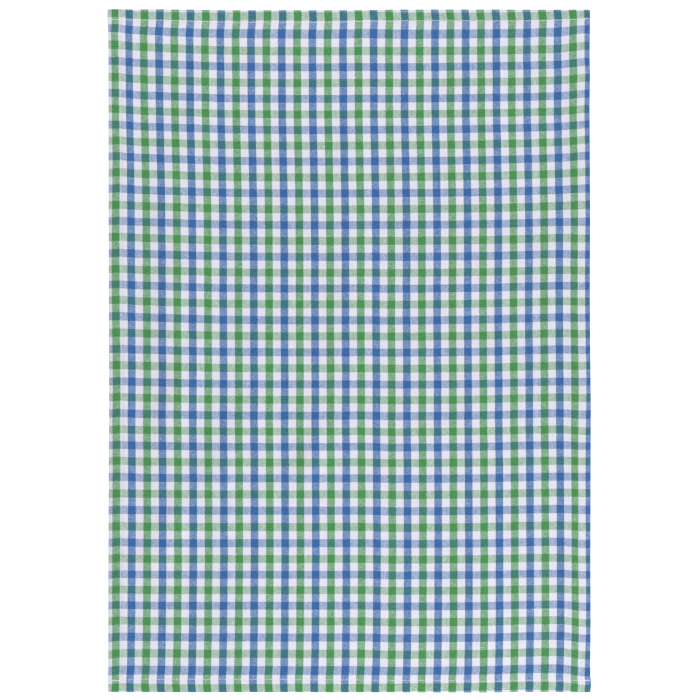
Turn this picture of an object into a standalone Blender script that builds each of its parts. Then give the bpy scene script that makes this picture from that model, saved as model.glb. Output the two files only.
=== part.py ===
"""A tea towel laid flat with its face up: one sheet of checked cotton, hemmed on all four sides.

Metres, +Z up. +X runs across the towel and +Y along it, to its top edge. The origin is under the
towel's middle, on the surface that it lies on. The sheet rests flat there, apart from the soft
folds that a pressed towel keeps, which lift it by a millimetre or two.
"""

from typing import NamedTuple

import bpy
import numpy as np

MM = 0.001

# Driving sizes.
WIDTH = 494 * MM
LENGTH = 700 * MM
SHEET_THICK = 1.2 * MM
HEM_WIDTH = 11.7 * MM
HEM_THICK = 2.2 * MM  # three layers, pressed and stitched
CORNER_THICK = 3.2 * MM  # an end hem turned over a side hem
HEM_FALL = 7 * MM  # where the hem's thickness falls to the sheet's
RIM_INSET = 3 * MM  # first row of the mesh inside the edge
RIM_ROUND = 0.7 * MM
CORNER_CUT = 0.7 * MM  # how far a corner is drawn in
CORNER_REACH = 3 * MM
PRESSED_FLAT = 0.15 * MM  # a lift smaller than this lies on the surface

# The mesh: even steps over the field, and closer ones at the two pressed folds.
CELLS_ACROSS = 34
CELLS_ALONG = 48
FOLD_STEP = 11 * MM


class EdgePoint(NamedTuple):
    """How far an edge stands out of its straight line, at a place along that edge."""

    along_mm: float
    outward_mm: float


# Side edges are measured from the top corner, end edges from the left corner.
LEFT_EDGE = (
    EdgePoint(0, 0.5),
    EdgePoint(60, 0.2),
    EdgePoint(230, 0.0),
    EdgePoint(400, -0.5),
    EdgePoint(500, 0.0),
    EdgePoint(600, 0.3),
    EdgePoint(700, 0.3),
)
RIGHT_EDGE = (
    EdgePoint(0, 0.0),
    EdgePoint(100, -0.6),
    EdgePoint(210, -0.1),
    EdgePoint(320, -0.3),
    EdgePoint(410, 0.5),
    EdgePoint(560, 0.1),
    EdgePoint(675, 0.2),
    EdgePoint(692, 1.0),
    EdgePoint(700, 0.6),
)
TOP_EDGE = (
    EdgePoint(0, 0.6),
    EdgePoint(60, 0.1),
    EdgePoint(120, -0.5),
    EdgePoint(245, -0.5),
    EdgePoint(290, 0.2),
    EdgePoint(345, 0.3),
    EdgePoint(494, 0.1),
)
FOOT_EDGE = (
    EdgePoint(0, 0.1),
    EdgePoint(400, 0.1),
    EdgePoint(425, -0.5),
    EdgePoint(455, -0.5),
    EdgePoint(494, 0.1),
)


class SoftFold(NamedTuple):
    """A ridge from start to end, measured from the towel's middle, that fades out at both ends."""

    name: str
    start_mm: tuple[float, float]
    end_mm: tuple[float, float]
    bow_mm: float  # how far its middle stands to the left of a straight line
    half_width_mm: float
    rise_mm: float


CENTRE_FOLD_X = 5 * MM
HALF_FOLD_Y = 0 * MM
SOFT_FOLDS = (
    SoftFold("centre fold", (6, 352), (4, -70), 0, 15, 1.2),
    SoftFold("half fold", (-250, 1), (250, -1), 0, 13, 0.8),
    SoftFold("top left drag", (-146, 300), (-192, 170), 5, 20, 1.1),
    SoftFold("top right drag", (112, 312), (192, 150), -7, 20, 1.9),
    SoftFold("upper right drag", (60, 172), (116, 24), -5, 19, 1.7),
    SoftFold("lower right drag", (104, -46), (166, -152), -4, 22, 1.2),
    SoftFold("middle drag", (0, -40), (-84, -162), 6, 18, 1.5),
    SoftFold("left drag", (-80, -26), (-164, -172), 7, 20, 1.5),
    SoftFold("left wave", (-178, 205), (-174, -140), 4, 24, 2.0),
    SoftFold("left foot drag", (-160, -150), (-228, -238), 4, 18, 1.3),
    SoftFold("right wave", (200, 140), (212, 20), -3, 18, 0.9),
    SoftFold("foot wave", (110, -200), (190, -310), -6, 34, 1.0),
)
FADE = 0.3  # the share of a fold's length over which each end rises

# The checks, seen as one colour: green, blue and white yarns mixed.
CLOTH_COLOUR = (0.349, 0.452, 0.495, 1.0)
CLOTH_ROUGHNESS = 0.92


def smooth_step(value):
    """0 up to 0, 1 from 1 on, and an even S-curve between."""
    t = np.clip(value, 0.0, 1.0)
    return t * t * (3.0 - 2.0 * t)


def stations(half_length, cell_count, fold_at):
    """Grid lines from one edge to the other: close at the hems and the pressed fold."""
    hem_lines = np.array([0.0, RIM_INSET, HEM_WIDTH, HEM_WIDTH + HEM_FALL])
    field_half = half_length - hem_lines[-1]
    field = np.linspace(-field_half, field_half, cell_count + 1)
    field = field[np.abs(field - fold_at) > 1.5 * FOLD_STEP]
    fold = fold_at + FOLD_STEP * np.array([-1.0, 0.0, 1.0])
    low = -half_length + hem_lines[:-1]
    return np.sort(np.concatenate([low, field, fold, -low]))


def edge_shift(along, edge):
    """The outward shift of an edge at each place along it, in metres."""
    places = [point.along_mm * MM for point in edge]
    shifts = [point.outward_mm * MM for point in edge]
    return np.interp(along, places, shifts)


def shaped_outline(x, y):
    """Moves the straight grid to the towel's uneven edges and its drawn-in corners."""
    from_left = (x + WIDTH / 2) / WIDTH
    from_top = (LENGTH / 2 - y) / LENGTH
    down = from_top * LENGTH
    across = from_left * WIDTH
    left = edge_shift(down, LEFT_EDGE) * (1 - from_left)
    right = edge_shift(down, RIGHT_EDGE) * from_left
    top = edge_shift(across, TOP_EDGE) * (1 - from_top)
    foot = edge_shift(across, FOOT_EDGE) * from_top
    to_corner = (WIDTH / 2 - np.abs(x)) + (LENGTH / 2 - np.abs(y))
    cut = CORNER_CUT * np.exp(-to_corner / CORNER_REACH)
    return x + right - left - cut * np.sign(x), y + top - foot - cut * np.sign(y)


def fold_rise(x, y, fold):
    """A bell of the distance to the fold's bowed line, rising smoothly from both of its ends."""
    start = np.array(fold.start_mm) * MM
    run = np.array(fold.end_mm) * MM - start
    length = np.hypot(*run)
    along = ((x - start[0]) * run[0] + (y - start[1]) * run[1]) / length**2
    aside = ((y - start[1]) * run[0] - (x - start[0]) * run[1]) / length
    aside = aside - fold.bow_mm * MM * 4 * along * (1 - along)
    ends = smooth_step(along / FADE) * smooth_step((1 - along) / FADE)
    return fold.rise_mm * MM * ends * np.exp(-((aside / (fold.half_width_mm * MM)) ** 2))


def lift(x, y):
    """How far the underside stands off the surface: 0 where the towel lies flat."""
    total = sum(fold_rise(x, y, fold) for fold in SOFT_FOLDS)
    return np.maximum(total - PRESSED_FLAT, 0.0)


def thickness(x, y):
    """The sheet's thickness, with the hems' layers along the edges and more at the corners."""
    inside_side = WIDTH / 2 - np.abs(x)
    inside_end = LENGTH / 2 - np.abs(y)
    side = 1 - smooth_step((inside_side - HEM_WIDTH) / HEM_FALL)
    end = 1 - smooth_step((inside_end - HEM_WIDTH) / HEM_FALL)
    hem = (HEM_THICK - SHEET_THICK) * np.maximum(side, end)
    corner = (CORNER_THICK - HEM_THICK) * side * end
    return SHEET_THICK + hem + corner


def grid_cells(columns, rows):
    """The corners of each cell, anticlockwise from above, for points stored row by row."""
    column, row = np.meshgrid(np.arange(columns - 1), np.arange(rows - 1))
    first = (row * columns + column).ravel()
    return np.stack([first, first + 1, first + columns + 1, first + columns], axis=1)


def grid_rim(columns, rows):
    """The points around the grid's edge, anticlockwise from above."""
    index = np.arange(rows * columns).reshape(rows, columns)
    return np.concatenate([index[0, :-1], index[:-1, -1], index[-1, :0:-1], index[:0:-1, 0]])


def cloth_mesh(name):
    """An underside and an upper side on one grid, joined by a wall around the edge."""
    across = stations(WIDTH / 2, CELLS_ACROSS, CENTRE_FOLD_X)
    along = stations(LENGTH / 2, CELLS_ALONG, HALF_FOLD_Y)
    flat_x, flat_y = np.meshgrid(across, along)
    x, y = shaped_outline(flat_x, flat_y)
    bottom = lift(x, y)
    under = np.stack([x, y, bottom], axis=-1).reshape(-1, 3)
    upper = np.stack([x, y, bottom + thickness(flat_x, flat_y)], axis=-1).reshape(-1, 3)

    cells = grid_cells(len(across), len(along))
    rim = grid_rim(len(across), len(along))
    next_rim = np.roll(rim, -1)
    wall = np.stack([rim, next_rim, next_rim + len(under), rim + len(under)], axis=1)
    faces = np.concatenate([cells[:, ::-1], cells + len(under), wall])

    mesh = bpy.data.meshes.new(name)
    mesh.from_pydata(np.concatenate([under, upper]).tolist(), [], faces.tolist())
    mesh.validate()
    return mesh


def cotton():
    """Plain matt cotton in the mean colour of the checks."""
    material = bpy.data.materials.new("checked_cotton")
    material.use_nodes = True
    shader = material.node_tree.nodes["Principled BSDF"]
    shader.inputs["Base Color"].default_value = CLOTH_COLOUR
    shader.inputs["Roughness"].default_value = CLOTH_ROUGHNESS
    shader.inputs["Metallic"].default_value = 0.0
    material.diffuse_color = CLOTH_COLOUR
    return material


def build_towel():
    """The whole towel: one sheet with a rounded rim."""
    towel = bpy.data.objects.new("towel_cloth", cloth_mesh("towel_cloth"))
    bpy.context.scene.collection.objects.link(towel)
    towel.data.materials.append(cotton())
    rim = towel.modifiers.new("rounded rim", "BEVEL")
    rim.width = RIM_ROUND
    rim.segments = 2
    rim.limit_method = "ANGLE"
    rim.angle_limit = np.radians(60)
    towel.data.shade_smooth()
    towel.data.set_sharp_from_angle(angle=np.radians(50))
    return towel


def main():
    """Clears the scene and builds the towel."""
    for item in list(bpy.data.objects):
        bpy.data.objects.remove(item)
    build_towel()


main()
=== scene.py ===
"""The looks of a checked cotton tea towel that lies flat with its face up, seen from straight above.

The cloth is one closed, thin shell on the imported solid's outline and soft folds, in metres, in the
solid's own frame. Its four hems are turned under twice, the side hems first, as they are when such a
towel is made. The yarns' places are kept in a UV map, so the checks and the weave bend with the cloth.
White lockstitching holds the hems, on the face and on the back.
"""

import logging
import math
from collections.abc import Mapping, Sequence
from dataclasses import dataclass, field
from enum import Enum
from typing import NamedTuple

import bpy
import numpy as np
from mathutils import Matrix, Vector


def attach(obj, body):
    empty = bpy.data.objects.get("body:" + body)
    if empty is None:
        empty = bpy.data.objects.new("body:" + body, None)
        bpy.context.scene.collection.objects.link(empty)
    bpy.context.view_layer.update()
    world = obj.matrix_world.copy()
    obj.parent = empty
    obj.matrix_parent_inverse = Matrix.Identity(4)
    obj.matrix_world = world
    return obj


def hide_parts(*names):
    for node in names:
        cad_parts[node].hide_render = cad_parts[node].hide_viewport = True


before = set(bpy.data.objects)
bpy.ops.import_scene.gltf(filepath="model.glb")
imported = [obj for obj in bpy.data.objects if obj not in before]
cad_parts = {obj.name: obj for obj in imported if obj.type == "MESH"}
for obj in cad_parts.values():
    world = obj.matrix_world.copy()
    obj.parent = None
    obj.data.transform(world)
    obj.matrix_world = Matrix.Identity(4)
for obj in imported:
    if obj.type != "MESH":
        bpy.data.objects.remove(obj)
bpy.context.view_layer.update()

log = logging.getLogger("tea_towel")
MM = 0.001
CLOTH_NODE = "towel_cloth"
BODY = "root"
YARN_MAP = "OFBake"  # the name of each piece's map, which its material reads

Colour = tuple[float, float, float]


# ---------------------------------------------------------------------------------------------
# Small tools
# ---------------------------------------------------------------------------------------------


def smooth_step(value: np.ndarray) -> np.ndarray:
    """0 up to 0, 1 from 1 on, and an even S-curve between."""
    t = np.clip(value, 0.0, 1.0)
    return t * t * (3.0 - 2.0 * t)


def bell(value: np.ndarray) -> np.ndarray:
    """1 at 0, falling evenly on both sides: e to the power of minus the square."""
    return np.exp(-np.square(value))


def soft_floor(height: np.ndarray, softness: float) -> np.ndarray:
    """0 below 0, with a soft passage: half of the height and the root of both squares' sum."""
    return 0.5 * (height + np.sqrt(height * height + softness * softness))


def grid_quads(rows: int, columns: int) -> np.ndarray:
    """The corners of each cell of a grid whose points are stored row by row.

    Args:
        rows: The number of rows of points.
        columns: The number of points in a row.

    Returns:
        One row of four point numbers for each cell.
    """
    row, column = np.meshgrid(np.arange(rows - 1), np.arange(columns - 1), indexing="ij")
    first = (row * columns + column).ravel()
    return np.stack([first, first + 1, first + columns + 1, first + columns], axis=1)


def grid_rim(rows: int, columns: int) -> np.ndarray:
    """The point numbers around a grid's edge, in the turning sense of its cells."""
    index = np.arange(rows * columns).reshape(rows, columns)
    return np.concatenate([index[0, :-1], index[:-1, -1], index[-1, :0:-1], index[:0:-1, 0]])


def new_piece(name: str, points: np.ndarray, faces: np.ndarray, uv: np.ndarray) -> bpy.types.Object:
    """Makes an object from points and four-sided faces, shaded smooth, with the map OFBake.

    Args:
        name: The object's and the mesh's name.
        points: One row of x, y and z for each point, in metres.
        faces: One row of four point numbers for each face.
        uv: One row of two map places for each point.

    Returns:
        The new object, which sits at the origin.
    """
    mesh = bpy.data.meshes.new(name)
    mesh.from_pydata(points.tolist(), [], faces.tolist())
    layer = mesh.uv_layers.new(name=YARN_MAP)
    layer.data.foreach_set("uv", uv[faces.ravel()].astype(np.float32).ravel())
    mesh.shade_smooth()
    piece = bpy.data.objects.new(name, mesh)
    bpy.context.scene.collection.objects.link(piece)
    return piece


# ---------------------------------------------------------------------------------------------
# Shader building
# ---------------------------------------------------------------------------------------------


class Field:
    """A number that varies over a surface. Python's operators on it add Math nodes."""

    def __init__(self, graph: "Graph", socket: bpy.types.NodeSocket) -> None:
        """Wraps one output socket of the graph."""
        self.graph = graph
        self.socket = socket

    def __add__(self, other: "Field | float") -> "Field":
        """This number plus the other."""
        return self.graph.maths("ADD", self, other)

    def __radd__(self, other: float) -> "Field":
        """The other number plus this."""
        return self.graph.maths("ADD", other, self)

    def __sub__(self, other: "Field | float") -> "Field":
        """This number minus the other."""
        return self.graph.maths("SUBTRACT", self, other)

    def __rsub__(self, other: float) -> "Field":
        """The other number minus this."""
        return self.graph.maths("SUBTRACT", other, self)

    def __mul__(self, other: "Field | float") -> "Field":
        """This number times the other."""
        return self.graph.maths("MULTIPLY", self, other)

    def __rmul__(self, other: float) -> "Field":
        """The other number times this."""
        return self.graph.maths("MULTIPLY", other, self)

    def __truediv__(self, other: "Field | float") -> "Field":
        """This number divided by the other."""
        return self.graph.maths("DIVIDE", self, other)

    def __gt__(self, other: "Field | float") -> "Field":
        """1 where this number is greater than the other, and 0 elsewhere."""
        return self.graph.maths("GREATER_THAN", self, other)

    def __abs__(self) -> "Field":
        """The number without its sign."""
        return self.graph.maths("ABSOLUTE", self)

    def floor(self) -> "Field":
        """The whole number below."""
        return self.graph.maths("FLOOR", self)

    def sine(self) -> "Field":
        """The sine of this number, taken as an angle in radians."""
        return self.graph.maths("SINE", self)

    def remainder(self, divisor: float) -> "Field":
        """What is left over from whole divisors, from 0 up to the divisor, also below 0."""
        return self.graph.maths("FLOORED_MODULO", self, divisor)

    def clamped(self) -> "Field":
        """The number held between 0 and 1."""
        return self.graph.maths("ADD", self, 0.0, clamp=True)


class Graph:
    """The node tree of one material, which is filled from the surface's coordinates to its shader."""

    def __init__(self, name: str) -> None:
        """Starts a material with a Principled shader.

        Args:
            name: The material's name.
        """
        self.material = bpy.data.materials.new(name)
        self.material.use_nodes = True
        self.tree = self.material.node_tree
        self.shader = self.tree.nodes["Principled BSDF"]

    def node(
        self,
        kind: str,
        settings: Mapping[str, object] | None = None,
        inputs: Mapping[str | int, object] | None = None,
    ) -> bpy.types.Node:
        """Adds a node.

        Args:
            kind: The node's type in Blender.
            settings: Its settings by name, which are set first.
            inputs: What its sockets take, by name or number: a number, a tuple, a socket or a Field.

        Returns:
            The new node.
        """
        node = self.tree.nodes.new(kind)
        for name, value in (settings or {}).items():
            setattr(node, name, value)
        for name, value in (inputs or {}).items():
            self.feed(node.inputs[name], value)
        return node

    def feed(self, socket: bpy.types.NodeSocket, value: object) -> None:
        """Links a socket, or sets it.

        Args:
            socket: The input that takes the value.
            value: A Field or an output socket, which is linked, or a number or tuple, which is set.
        """
        if isinstance(value, Field):
            value = value.socket
        if isinstance(value, bpy.types.NodeSocket):
            self.tree.links.new(value, socket)
        else:
            socket.default_value = value

    def maths(self, operation: str, *values: Field | float, clamp: bool = False) -> Field:
        """One Math node.

        Args:
            operation: The node's operation in Blender.
            values: What it works on.
            clamp: Whether its result is held between 0 and 1.

        Returns:
            The result.
        """
        settings = {"operation": operation, "use_clamp": clamp}
        node = self.node("ShaderNodeMath", settings, dict(enumerate(values)))
        return Field(self, node.outputs[0])

    def mix_colours(
        self, share: Field, first: object, second: object, held: bool = True
    ) -> bpy.types.NodeSocket:
        """A mix of two colours.

        Args:
            share: 0 for the first colour, 1 for the second.
            first: The first colour.
            second: The second colour.
            held: Whether the share is held between 0 and 1. If not, the mix goes on beyond both.

        Returns:
            The mixed colour.
        """
        settings = {"data_type": "RGBA", "clamp_factor": held}
        node = self.node("ShaderNodeMix", settings, {0: share, 6: first, 7: second})
        return node.outputs[2]

    def multiply(self, first: object, second: object) -> bpy.types.NodeSocket:
        """Two vectors or colours multiplied part by part."""
        node = self.node("ShaderNodeVectorMath", {"operation": "MULTIPLY"}, {0: first, 1: second})
        return node.outputs[0]

    def combine(self, x: Field | float, y: Field | float, z: Field | float = 0.0) -> bpy.types.NodeSocket:
        """A vector from its three parts."""
        return self.node("ShaderNodeCombineXYZ", None, {0: x, 1: y, 2: z}).outputs[0]

    def noise(self, x: Field, y: Field, detail: float = 0.0) -> Field:
        """Smooth noise over two numbers.

        Args:
            x: The first number, in steps of about one bump.
            y: The second number, likewise.
            detail: How many layers of finer bumps are added.

        Returns:
            The noise, from 0 to 1.
        """
        inputs = {"Vector": self.combine(x, y), "Scale": 1.0, "Detail": detail}
        node = self.node("ShaderNodeTexNoise", {"noise_dimensions": "2D"}, inputs)
        return Field(self, node.outputs[0])

    def draw(self, number: Field) -> Field:
        """A number from 0 to 1 drawn anew for each whole number that it is given."""
        node = self.node("ShaderNodeTexWhiteNoise", {"noise_dimensions": "1D"}, {"W": number})
        return Field(self, node.outputs[0])

    def map_places(self, name: str) -> tuple[Field, Field]:
        """Reads a UV map.

        Args:
            name: The map's name.

        Returns:
            The two parts of the place in the map.
        """
        where = self.node("ShaderNodeUVMap", {"uv_map": name})
        parts = self.node("ShaderNodeSeparateXYZ", None, {0: where.outputs[0]})
        return Field(self, parts.outputs[0]), Field(self, parts.outputs[1])

    def bump(self, height: Field, distance: float, strength: float) -> bpy.types.NodeSocket:
        """A normal bent by a height from 0 to 1 that stands for that distance in metres."""
        inputs = {"Height": height, "Distance": distance, "Strength": strength}
        return self.node("ShaderNodeBump", None, inputs).outputs[0]

    def finish(self, **sockets: object) -> bpy.types.Material:
        """Feeds the shader.

        Args:
            sockets: What its sockets take, by their names with _ for a space.

        Returns:
            The finished material.
        """
        for name, value in sockets.items():
            self.feed(self.shader.inputs[name.replace("_", " ")], value)
        return self.material


# ---------------------------------------------------------------------------------------------
# Finishes
# ---------------------------------------------------------------------------------------------


class Dye(Enum):
    """The colours of the yarn, as linear red, green and blue."""

    GREEN = (0.0585, 0.273, 0.080)
    WHITE = (0.753, 0.760, 0.843)
    BLUE = (0.0358, 0.1296, 0.366)

    def root(self) -> tuple[float, float, float, float]:
        """The fourth root of the colour, in which yarns mix, with an alpha of 1."""
        red, green, blue = (part**0.25 for part in self.value)
        return red, green, blue, 1.0


STRIPES = (Dye.GREEN, Dye.WHITE, Dye.BLUE, Dye.WHITE)


@dataclass(frozen=True)
class Slub:
    """How uneven a yarn's thickness is: along it, and from one yarn to the next."""

    amount: float
    length: float  # from one thick place to the next, in crossings
    between_yarns: float  # as a share of the amount
    noise_gain: float = 1.2  # the noise along a yarn is seldom near its ends, so it is stretched
    noise_stride: float = 7.3  # keeps neighbouring yarns apart in the noise


@dataclass(frozen=True)
class Mottle:
    """An unevenness of the cloth in both directions: smooth noise over its crossings."""

    fineness: float  # bumps in a crossing
    detail: float  # layers of finer bumps on them
    amount: float  # between the lowest and the highest

    def over(self, graph: Graph, u: Field, v: Field) -> Field:
        """The noise at a place counted in yarns both ways, around 0."""
        return (graph.noise(u * self.fineness, v * self.fineness, self.detail) - 0.5) * self.amount


@dataclass(frozen=True)
class CheckedCotton:
    """A plain weave of striped warp, which runs along the towel, and striped weft.

    At each crossing one yarn lies over the other, in turns. From a step away the two mix, and the
    warp counts for more, because it covers more of the face. Light that goes from yarn to yarn mixes
    them more darkly than paint would, so they are mixed as fourth roots of their colours, and the
    mix is tinted by the pair of dyes that cross. The mix varies where a yarn is thicker or thinner
    and where the weft is beaten in closer.
    """

    warp_stripe: float = 7.852 * MM
    weft_stripe: float = 8.170 * MM
    yarns_in_stripe: int = 16
    repeats_in_map: int = 3  # pattern repeats in one unit of the yarn map
    wander: Mottle = Mottle(fineness=0.035, detail=2.0, amount=0.9)  # of the yarns, in yarns

    warp_share: float = 0.627  # of the warp in the mixed colour
    over_and_under: float = 0.45  # how much the share changes between the two kinds of crossing
    mostly_over: float = 0.6  # the part of the crossings where the warp is over, as seen
    warp_lean: float = 0.16  # widens the warp's floats
    thick_floats: float = 2.0  # how much a thicker yarn widens its floats
    float_ends: float = 2.5  # how sharply a float ends
    warp_slub: Slub = Slub(amount=0.215, length=7.0, between_yarns=0.35)
    weft_slub: Slub = Slub(amount=0.38, length=5.0, between_yarns=0.05)
    dyed_slub: float = 0.60  # a dyed yarn's unevenness, as a share of a white one's
    beating: Mottle = Mottle(fineness=0.05, detail=1.0, amount=0.12)  # of the share

    green_and_white: Colour = (1.046, 0.954, 0.998)  # the tints where two such yarns cross
    blue_and_white: Colour = (0.970, 0.921, 0.955)
    green_and_blue: Colour = (0.955, 0.955, 0.965)
    hairs_and_glints: Mottle = Mottle(fineness=0.4, detail=2.0, amount=0.58)  # white fibres on dyed yarns, and painted glints of fuzz that catches the light
    patches: Mottle = Mottle(fineness=0.4, detail=2.0, amount=0.185)  # of the tone
    yarn_tone: float = 0.04  # how much the tone changes from yarn to yarn

    relief: float = 0.10 * MM
    relief_strength: float = 0.6
    uneven_crown: float = 0.15  # how much the relief changes from yarn to yarn
    roughness: float = 0.88
    smooth_crown: float = 0.06  # how much less rough a yarn's crown is
    gloss: float = 0.25
    down: float = 0.08  # the sheen of the cloth's fine hairs
    down_roughness: float = 0.6

    # These keep the random draws for one purpose apart from those for another.
    weft_draws: float = 0.5
    warp_tone_draws: float = 311.0
    weft_tone_draws: float = 977.0

    def yarn_map(self, across: np.ndarray, along: np.ndarray) -> np.ndarray:
        """The map places of cloth coordinates: distances divided by the length of the map's repeats.

        Args:
            across: Cloth places across the towel, from the first green warp stripe's left edge.
            along: Cloth places along it, from the top green weft stripe's lower edge.

        Returns:
            The two map places, stacked on a new last axis.
        """
        in_map = len(STRIPES) * self.repeats_in_map
        u = across / (self.warp_stripe * in_map)
        v = along / (self.weft_stripe * in_map)
        return np.stack([u, v], axis=-1)

    def striped(self, graph: Graph, yarn: Field) -> tuple[bpy.types.NodeSocket, Field, Field]:
        """The dye of each yarn: the stripes are green, white, blue and white, in turn.

        Args:
            graph: The material's graph.
            yarn: The yarn's whole number.

        Returns:
            The fourth root of its colour, 1 where it is white and 0 elsewhere, and 1 where it is
            blue and 0 elsewhere.
        """
        stripe = (yarn / self.yarns_in_stripe).floor().remainder(len(STRIPES))
        late = stripe > STRIPES.index(Dye.WHITE) + 0.5
        dyed = graph.mix_colours(late, Dye.GREEN.root(), Dye.BLUE.root())
        white = stripe.remainder(2.0)
        return graph.mix_colours(white, dyed, Dye.WHITE.root()), white, late * (1.0 - white)

    def thickness(self, graph: Graph, slub: Slub, yarn: Field, along: Field, white: Field) -> Field:
        """How much thicker than the rest a yarn is.

        That is noise along the yarn plus a draw for the whole yarn, both less for a dyed one.

        Args:
            graph: The material's graph.
            slub: How uneven the yarns of this direction are.
            yarn: The yarn's whole number.
            along: The place along it, in crossings.
            white: 1 where the yarn is white and 0 where it is dyed.

        Returns:
            The thickness above the mean, as a part of the share in the mixed colour.
        """
        slubs = graph.noise(yarn * slub.noise_stride, along * (1 / slub.length), detail=1.0) - 0.5
        whole = graph.draw(yarn) - 0.5
        uneven = slubs * (slub.noise_gain * slub.amount) + whole * (slub.between_yarns * slub.amount)
        return uneven * (self.dyed_slub + white * (1 - self.dyed_slub))

    def material(self) -> bpy.types.Material:
        """The cloth's material.

        The crossing's sign is the sine of one yarn count times the sine of the other, each times pi,
        which changes from cell to cell. The warp is over where that, plus its lean and the
        difference of the yarns' thicknesses, is above 0.

        Returns:
            The material, which reads the cloth's yarn map.
        """
        graph = Graph("checked_cotton")
        yarns = self.yarns_in_stripe * len(STRIPES) * self.repeats_in_map
        u, v = graph.map_places(YARN_MAP)
        u, v = u * yarns, v * yarns
        wander = self.wander.over(graph, u, v)
        u = u + wander
        v = v + wander
        warp_yarn, weft_yarn = u.floor(), v.floor()
        warp_root, warp_white, warp_blue = self.striped(graph, warp_yarn)
        weft_root, weft_white, weft_blue = self.striped(graph, weft_yarn)
        warp_thick = self.thickness(graph, self.warp_slub, warp_yarn, v, warp_white)
        weft_drawn = weft_yarn + self.weft_draws
        weft_thick = self.thickness(graph, self.weft_slub, weft_drawn, u, weft_white)

        crossing = (u * math.pi).sine() * (v * math.pi).sine()
        thicker = warp_thick - weft_thick
        height = crossing + thicker * self.thick_floats + self.warp_lean
        over = (height * self.float_ends + 0.5).clamped()
        beaten = self.beating.over(graph, u, v)
        swing = (over - self.mostly_over) * self.over_and_under
        share = self.warp_share + swing + thicker + beaten
        root = graph.mix_colours(share, weft_root, warp_root)
        # white fibres and painted glints of fuzz, mixed into the colour as noise
        hairs_and_glints = self.hairs_and_glints.over(graph, u, v)
        root = graph.mix_colours(hairs_and_glints, root, Dye.WHITE.root(), held=False)
        square = graph.multiply(root, root)
        fourth = graph.multiply(square, square)
        dyed_pair = graph.mix_colours(
            abs(warp_blue - weft_blue), (1.0, 1.0, 1.0, 1.0), (*self.green_and_blue, 1.0)
        )
        half_white = graph.mix_colours(
            warp_blue + weft_blue, (*self.green_and_white, 1.0), (*self.blue_and_white, 1.0)
        )
        tint = graph.mix_colours(abs(warp_white - weft_white), dyed_pair, half_white)
        colour = graph.multiply(fourth, tint)

        drawn = graph.draw(warp_yarn + self.warp_tone_draws) + graph.draw(weft_yarn + self.weft_tone_draws)
        uneven = drawn - 1.0
        tone = 1.0 + self.patches.over(graph, u, v) + uneven * self.yarn_tone
        tinted = graph.multiply(colour, graph.combine(tone, tone, tone))
        crown = abs(crossing) + uneven * self.uneven_crown
        return graph.finish(
            Base_Color=tinted,
            Roughness=self.roughness - abs(crossing) * self.smooth_crown,
            Normal=graph.bump(crown, self.relief, self.relief_strength),
            Specular_IOR_Level=self.gloss,
            Sheen_Weight=self.down,
            Sheen_Roughness=self.down_roughness,
        )


@dataclass(frozen=True)
class SewingThread:
    """White two-ply thread. Its map runs along the stitch and once around the thread."""

    colour: Colour = (0.86, 0.87, 0.90)
    painted_groove_shade: float = 0.82  # painted shade: the share of the colour left in the grooves between the plies
    twists: float = 3.0  # turns of the ply in a stitch
    relief: float = 0.04 * MM
    relief_strength: float = 0.5
    roughness: float = 0.62
    smooth_ply: float = 0.08  # how much less rough a ply's crown is
    gloss: float = 0.4

    def material(self) -> bpy.types.Material:
        """The thread's material: the plies show as slanting ridges, with shade painted darker into the
        grooves.

        Returns:
            The material, which reads the thread's own map.
        """
        graph = Graph("sewing_thread")
        along, around = graph.map_places(YARN_MAP)
        ply = abs(((along * self.twists + around) * math.tau).sine())
        # painted shade: the colour darkens in the grooves between the plies
        groove_shading = self.painted_groove_shade + ply * (1 - self.painted_groove_shade)
        return graph.finish(
            Base_Color=graph.multiply(self.colour, graph.combine(groove_shading, groove_shading, groove_shading)),
            Roughness=self.roughness - ply * self.smooth_ply,
            Normal=graph.bump(ply, self.relief, self.relief_strength),
            Specular_IOR_Level=self.gloss,
        )


@dataclass(frozen=True)
class PaleGround:
    """The white ground of a studio table, lit from below so that shadows on it stay faint."""

    colour: Colour = (0.95, 0.95, 0.95)
    glow: float = 0.5
    roughness: float = 0.75
    rougher: float = 0.1  # how much rougher it is in places
    places_in_metre: float = 20.0
    gloss: float = 0.1

    def material(self) -> bpy.types.Material:
        """The ground's material: matt, with a faint unevenness in its roughness.

        Returns:
            The material, which reads object coordinates.
        """
        graph = Graph("pale_ground")
        place = graph.node("ShaderNodeTexCoord")
        parts = graph.node("ShaderNodeSeparateXYZ", None, {0: place.outputs["Object"]})
        x, y = Field(graph, parts.outputs[0]), Field(graph, parts.outputs[1])
        places = graph.noise(x * self.places_in_metre, y * self.places_in_metre)
        return graph.finish(
            Base_Color=(*self.colour, 1.0),
            Roughness=self.roughness + places * self.rougher,
            Emission_Color=(1.0, 1.0, 1.0, 1.0),
            Emission_Strength=self.glow,
            Specular_IOR_Level=self.gloss,
        )


# ---------------------------------------------------------------------------------------------
# The shape of the laid towel
# ---------------------------------------------------------------------------------------------


class EdgePoint(NamedTuple):
    """How far an edge or a seam stands out of its straight line, at a place along it."""

    along_mm: float
    outward_mm: float


class SoftFold(NamedTuple):
    """A ridge from start to end, measured from the towel's middle, that fades out at both ends."""

    name: str
    start_mm: tuple[float, float]
    end_mm: tuple[float, float]
    bow_mm: float  # how far its middle stands to the left of a straight line
    half_width_mm: float
    rise_mm: float


class WarpShift(NamedTuple):
    """How far the vertical stripes are to the right of an even grid, below the top edge."""

    down_mm: float
    middle_mm: float
    spread_mm: float  # how much more than that to the right near the right edge, and less at the left
    left_mm: float  # the first stripes at the left edge itself
    right_mm: float  # the last stripes at the right edge


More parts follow.
